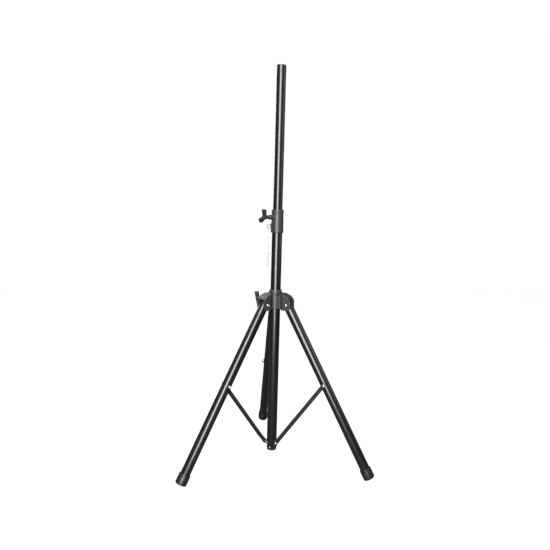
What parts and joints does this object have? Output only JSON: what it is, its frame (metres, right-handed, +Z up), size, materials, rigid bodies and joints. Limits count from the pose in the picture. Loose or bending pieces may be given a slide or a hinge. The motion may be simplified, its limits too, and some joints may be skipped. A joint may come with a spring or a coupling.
{
  "type": "speaker stand",
  "caption": "Folding tripod stand for a PA speaker: telescopic tube mast with clamp collar and tethered safety pin, tube legs on a sliding hub, strut braces and rubber feet.",
  "frame": {"origin": "on the mast's axis, at the height of the floor the feet stand on", "axes": "+Z up the mast; +Y from the mast towards the back leg; the left leg towards -X, the right leg towards +X"},
  "size_m": [0.705, 0.6162, 1.47],
  "materials": {
    "tube_paint": "semi-gloss black powder coat on steel tube",
    "strut_paint": "semi-gloss black powder coat on flat steel bar",
    "hub_plastic": "black glass-filled nylon, fine moulded texture",
    "knob_plastic": "black moulded plastic, satin",
    "plug_plastic": "black moulded plastic",
    "washer_plastic": "black nylon",
    "nylon": "dark grey nylon",
    "foot_rubber": "black rubber, matte",
    "chrome": "bright nickel-chrome plating",
    "lanyard_steel": "stranded steel cord",
    "brass_insert": "turned brass"
  },
  "bodies": {
    "mast_base": {"main_tube": "tube_paint", "clamp_collar": "hub_plastic", "collar_bush": "nylon", "collar_clamp_nut": "brass_insert", "split_ring": "chrome", "bottom_hub": "hub_plastic", "mast_end_plug": "plug_plastic", "strut_pivot_bolts": "chrome", "bottom_hub_rivets": "chrome"},
    "upper_mast": {"upper_tube": "tube_paint", "upper_tube_top_plug": "plug_plastic", "upper_tube_glide": "nylon"},
    "collar_pad": {"collar_clamp_pad": "brass_insert"},
    "collar_knob": {"collar_clamp_screw": "chrome", "collar_clamp_knob": "knob_plastic"},
    "tethered_pin": {"lanyard": "lanyard_steel", "lanyard_top_ferrule": "chrome", "lanyard_bottom_ferrule": "chrome", "safety_pin": "chrome", "safety_pin_detent_ball": "chrome"},
    "sliding_hub": {"leg_hub": "hub_plastic", "hub_top_ring": "hub_plastic", "hub_liner": "nylon", "hub_clamp_nut": "brass_insert", "leg_pivot_bolts": "chrome", "leg_pivot_nuts": "chrome"},
    "hub_pad": {"hub_clamp_pad": "brass_insert"},
    "hub_knob": {"hub_clamp_screw": "chrome", "hub_clamp_knob": "knob_plastic"},
    "leg_left": {"leg_tube_left": "tube_paint", "leg_top_plug_left": "plug_plastic", "foot_left": "foot_rubber", "leg_bolt_left": "chrome", "leg_washer_left": "washer_plastic"},
    "brace_left": {"strut_left": "strut_paint", "strut_bolt_head_left": "chrome"},
    "leg_right": {"leg_tube_right": "tube_paint", "leg_top_plug_right": "plug_plastic", "foot_right": "foot_rubber", "leg_bolt_right": "chrome", "leg_washer_right": "washer_plastic"},
    "brace_right": {"strut_right": "strut_paint", "strut_bolt_head_right": "chrome"},
    "leg_back": {"leg_tube_back": "tube_paint", "leg_top_plug_back": "plug_plastic", "foot_back": "foot_rubber", "leg_bolt_back": "chrome", "leg_washer_back": "washer_plastic"},
    "brace_back": {"strut_back": "strut_paint", "strut_bolt_head_back": "chrome"}
  },
  "joints": [
    {"name": "mast_slide", "type": "slide", "parent": "mast_base", "child": "upper_mast", "axis": [0, 0, 1], "range_m": [-0.35, 0.37]},
    {"name": "collar_pad_slide", "type": "slide", "parent": "mast_base", "child": "collar_pad", "axis": [-0.9135, -0.4067, 0], "range_m": [0, 0.0026]},
    {"name": "collar_knob_turn", "type": "hinge", "parent": "collar_pad", "child": "collar_knob", "pos_m": [-0.05024, -0.02237, 0.931], "axis": [-0.9135, -0.4067, 0], "range_deg": [0, 720]},
    {"name": "safety_pin_swing", "type": "hinge", "parent": "mast_base", "child": "tethered_pin", "pos_m": [-0.03185, 0.01352, 0.8914], "axis": [0.3907, 0.9205, 0], "range_deg": [0, 55]},
    {"name": "hub_slide", "type": "slide", "parent": "mast_base", "child": "sliding_hub", "axis": [0, 0, 1], "range_m": [0, 0.0989]},
    {"name": "hub_pad_slide", "type": "slide", "parent": "sliding_hub", "child": "hub_pad", "axis": [-0.866, 0.5, 0], "range_m": [0, 0.0026]},
    {"name": "hub_knob_turn", "type": "hinge", "parent": "hub_pad", "child": "hub_knob", "pos_m": [-0.06409, 0.037, 0.621], "axis": [-0.866, 0.5, 0], "range_deg": [0, 720]},
    {"name": "leg_left_fold", "type": "hinge", "parent": "sliding_hub", "child": "leg_left", "pos_m": [-0.0433, -0.025, 0.609], "axis": [0.5, -0.866, 0], "range_deg": [0, 29.35]},
    {"name": "strut_left_fold", "type": "hinge", "parent": "mast_base", "child": "brace_left", "pos_m": [-0.01949, -0.01125, 0.07], "axis": [-0.5, 0.866, 0], "range_deg": [0, 31.05]},
    {"name": "leg_right_fold", "type": "hinge", "parent": "sliding_hub", "child": "leg_right", "pos_m": [0.0433, -0.025, 0.609], "axis": [0.5, 0.866, 0], "range_deg": [0, 29.35]},
    {"name": "strut_right_fold", "type": "hinge", "parent": "mast_base", "child": "brace_right", "pos_m": [0.01949, -0.01125, 0.07], "axis": [-0.5, -0.866, 0], "range_deg": [0, 31.05]},
    {"name": "leg_back_fold", "type": "hinge", "parent": "sliding_hub", "child": "leg_back", "pos_m": [0, 0.05, 0.609], "axis": [-1, 0, 0], "range_deg": [0, 29.35]},
    {"name": "strut_back_fold", "type": "hinge", "parent": "mast_base", "child": "brace_back", "pos_m": [0, 0.0225, 0.07], "axis": [1, 0, 0], "range_deg": [0, 31.05]}
  ],
  "couplings": [
    {"joint": "collar_pad_slide", "follows": "collar_knob_turn", "m_per_rad": 0.00019894},
    {"joint": "hub_pad_slide", "follows": "hub_knob_turn", "m_per_rad": 0.00019894},
    {"joint": "leg_left_fold", "follows": "hub_slide", "rad_per_m": 5.1701},
    {"joint": "strut_left_fold", "follows": "hub_slide", "rad_per_m": 5.3839},
    {"joint": "leg_right_fold", "follows": "hub_slide", "rad_per_m": 5.1701},
    {"joint": "strut_right_fold", "follows": "hub_slide", "rad_per_m": 5.3839},
    {"joint": "leg_back_fold", "follows": "hub_slide", "rad_per_m": 5.1701},
    {"joint": "strut_back_fold", "follows": "hub_slide", "rad_per_m": 5.3839}
  ]
}
